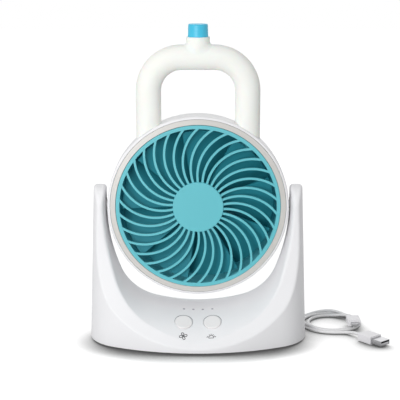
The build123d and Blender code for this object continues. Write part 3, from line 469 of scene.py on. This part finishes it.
def on_panel(flat, across, lean):
    """Where a flat point of a sign lies on the panel, along the panel's normal."""
    lean = math.radians(lean)
    ring = saddle_radius + hump_radius * (1 - math.cos(lean))
    rise = math.sqrt(ring**2 - across**2)
    inward = (-across / ring, rise / ring)
    normal = Vector((math.cos(lean) * inward[0], -math.sin(lean), math.cos(lean) * inward[1]))
    right = Vector((inward[1], 0, -inward[0]))
    up = normal.cross(right)
    middle = Vector((across, -hump_radius * math.sin(lean), saddle_height + saddle_radius - rise))
    above = (middle + right * flat.x + up * flat.y + normal * sign_throw) * MM
    hit, hit_normal, _, _ = shell_tree.ray_cast(above, -normal)
    return hit + hit_normal * sign_lift * MM


def sign(name, lines, across, lean, ink):
    """A printed sign made of ribbons, as one thin mesh on the panel; it also lays the painted shadows round
    the buttons.
    """
    mesh = bmesh.new()
    for left, right, closed in lines:
        lefts = [mesh.verts.new(on_panel(point, across, lean)) for point in left]
        rights = [mesh.verts.new(on_panel(point, across, lean)) for point in right]
        count = len(left)
        for n in range(count if closed else count - 1):
            after = (n + 1) % count
            mesh.faces.new((lefts[n], rights[n], rights[after], lefts[after]))
    made = mesh_piece(name, mesh, ink)
    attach(made, "base")


def petal(turn):
    """One blade of the fan sign, a closed leaf that leans to one side."""
    points = []
    for n in range(petal_steps):
        angle = 2 * math.pi * n / petal_steps
        along = petal_length * (1 - math.cos(angle)) / 2 + petal_start
        widening = petal_root_share + (1 - petal_root_share) * along / petal_length
        bent = petal_width * math.sin(angle) * widening + petal_bend * along
        right = along * math.cos(turn) - bent * math.sin(turn)
        up = along * math.sin(turn) + bent * math.cos(turn)
        points.append(Vector((right, up)))
    return ribbon(points, closed=True)


def dome_way(angle):
    """From the lamp sign's foot to its dome, at an angle in degrees."""
    return Vector((dome_across * math.cos(math.radians(angle)), dome_rise * math.sin(math.radians(angle))))


fan_lines = [petal(math.radians(petal_turn + 360 / petal_count * n)) for n in range(petal_count)]
dome = [lamp_foot + dome_way(180 / dome_steps * n) for n in range(dome_steps + 1)]
lamp_lines = [ribbon(dome, closed=True)]
for angle in ray_angles:
    ends = [lamp_foot + dome_way(angle) * share for share in (ray_start, ray_end)]
    lamp_lines.append(ribbon(ends))
for side in (-1, 1):
    ends = [lamp_foot + Vector((side * across, up)) for across, up in (side_ray_start, side_ray_end)]
    lamp_lines.append(ribbon(ends))
sign("fan_sign", fan_lines, fan_sign_across, sign_lean, "sign_ink")
sign("lamp_sign", lamp_lines, lamp_sign_across, sign_lean, "sign_ink")

# Painted shadow: a grey ribbon round the far side of each button, where the gap's shadow falls, widest at
# the top
gap_shadow_inner = []
gap_shadow_outer = []
for n in range(gap_shadow_steps + 1):
    angle = math.radians(gap_shadow_start + gap_shadow_sweep * n / gap_shadow_steps)
    way = Vector((math.cos(angle), math.sin(angle)))
    gap_shadow_inner.append(way * gap_shadow_inner_radius)
    swell = gap_shadow_swell * math.sin(math.pi * n / gap_shadow_steps) ** 2
    gap_shadow_outer.append(way * (gap_shadow_outer_radius + swell))
for name, across in (("fan_button_gap_shadow", -button_across), ("light_button_gap_shadow", button_across)):
    sign(name, [(gap_shadow_outer, gap_shadow_inner, False)], across, button_lean, "gap_shadow_grey")


# A white floor that keeps the object's shade, with painted shade in its colour and glow where the object
# crowds it, more so in front
def seen_directly(tree):
    """A factor of 1 for what the camera sees, also by way of mirror or clear surfaces, and otherwise 0."""
    path = tree.nodes.new("ShaderNodeLightPath")
    seen = path.outputs["Is Camera Ray"]
    for output in ("Is Glossy Ray", "Is Transmission Ray"):
        seen = math_node(tree, "MAXIMUM", seen, path.outputs[output])
    return seen


def painted_floor_shade(tree):
    """A factor of painted shade for the floor's colour and glow: least where the object crowds it, more so
    in front, and 1 in the open.
    """
    crowd = tree.nodes.new("ShaderNodeAmbientOcclusion")
    crowd.samples = shade_samples
    crowd.inputs["Distance"].default_value = shade_reach
    lean = tree.nodes.new("ShaderNodeCombineXYZ")
    lean.inputs["Y"].default_value = shade_lean_back
    lean.inputs["Z"].default_value = shade_lean_up
    link(tree, lean.outputs["Vector"], crowd.inputs["Normal"])
    spread = tree.nodes.new("ShaderNodeMapRange")
    spread.inputs["From Min"].default_value = shade_darkest
    spread.inputs["From Max"].default_value = shade_clear
    spread.inputs["To Min"].default_value = shade_least
    link(tree, crowd.outputs["AO"], spread.inputs["Value"])
    return spread.outputs["Result"]


floor_data = bpy.data.meshes.new("floor")
floor_corners = [(x * floor_half, y * floor_half, 0) for x, y in ((-1, -1), (1, -1), (1, 1), (-1, 1))]
floor_data.from_pydata(floor_corners, [], [(0, 1, 2, 3)])
floor = placed("floor", floor_data)
floor_paint = bpy.data.materials.new("floor_paint")
floor_paint.use_nodes = True
floor_tree = floor_paint.node_tree
floor_tree.nodes.remove(floor_tree.nodes["Principled BSDF"])
shade = painted_floor_shade(floor_tree)
# Painted shade: the floor's colour runs from the shaded tone to the pale one as the factor rises
floor_tone = floor_tree.nodes.new("ShaderNodeMix")
floor_tone.data_type = "RGBA"
floor_tone.inputs["A"].default_value = (floor_shaded_tone, floor_shaded_tone, floor_shaded_tone, 1.0)
floor_tone.inputs["B"].default_value = (floor_pale, floor_pale, floor_pale, 1.0)
link(floor_tree, shade, floor_tone.inputs["Factor"])
floor_body = floor_tree.nodes.new("ShaderNodeBsdfDiffuse")
link(floor_tree, floor_tone.outputs["Result"], floor_body.inputs["Color"])
floor_glow = floor_tree.nodes.new("ShaderNodeEmission")
glow_strength = math_node(floor_tree, "MULTIPLY", seen_directly(floor_tree), floor_glow_strength)
link(floor_tree, math_node(floor_tree, "MULTIPLY", glow_strength, shade), floor_glow.inputs["Strength"])
floor_sum = floor_tree.nodes.new("ShaderNodeAddShader")
link(floor_tree, floor_body.outputs["BSDF"], floor_sum.inputs[0])
link(floor_tree, floor_glow.outputs["Emission"], floor_sum.inputs[1])
link(floor_tree, floor_sum.outputs["Shader"], floor_tree.nodes["Material Output"].inputs["Surface"])
floor_data.materials.append(floor_paint)

# A soft even world, white where it is seen
world = bpy.data.worlds.new("studio")
scene.world = world
world.use_nodes = True
world_tree = world.node_tree
world_light = world_tree.nodes["Background"]
world_light.inputs["Color"].default_value = (1.0, 1.0, 1.0, 1.0)
world_light.inputs["Strength"].default_value = world_strength
world_white = world_tree.nodes.new("ShaderNodeBackground")
world_white.inputs["Color"].default_value = (1.0, 1.0, 1.0, 1.0)
world_white.inputs["Strength"].default_value = 1.0
world_mix = world_tree.nodes.new("ShaderNodeMixShader")
link(world_tree, seen_directly(world_tree), world_mix.inputs["Fac"])
link(world_tree, world_light.outputs["Background"], world_mix.inputs[1])
link(world_tree, world_white.outputs["Background"], world_mix.inputs[2])
link(world_tree, world_mix.outputs["Shader"], world_tree.nodes["World Output"].inputs["Surface"])


# Lamps
def softbox(name, place, size, power):
    """A square area lamp that faces the object, in metres and watts."""
    data = bpy.data.lights.new(name, "AREA")
    data.shape = "SQUARE"
    data.size = size
    data.energy = power
    lamp = placed(name, data)
    lamp.location = place
    lamp.rotation_euler = (Vector(light_aim) - Vector(place)).to_track_quat("-Z", "Y").to_euler()


softbox("key", place=(-0.4, -0.95, 0.27), size=0.5, power=5.7)
softbox("top", place=(-0.2, -0.2, 1.7), size=1.0, power=0.25)
softbox("back", place=(0.2, 1.2, 0.45), size=0.8, power=1.6)

scene.view_settings.view_transform = "Standard"
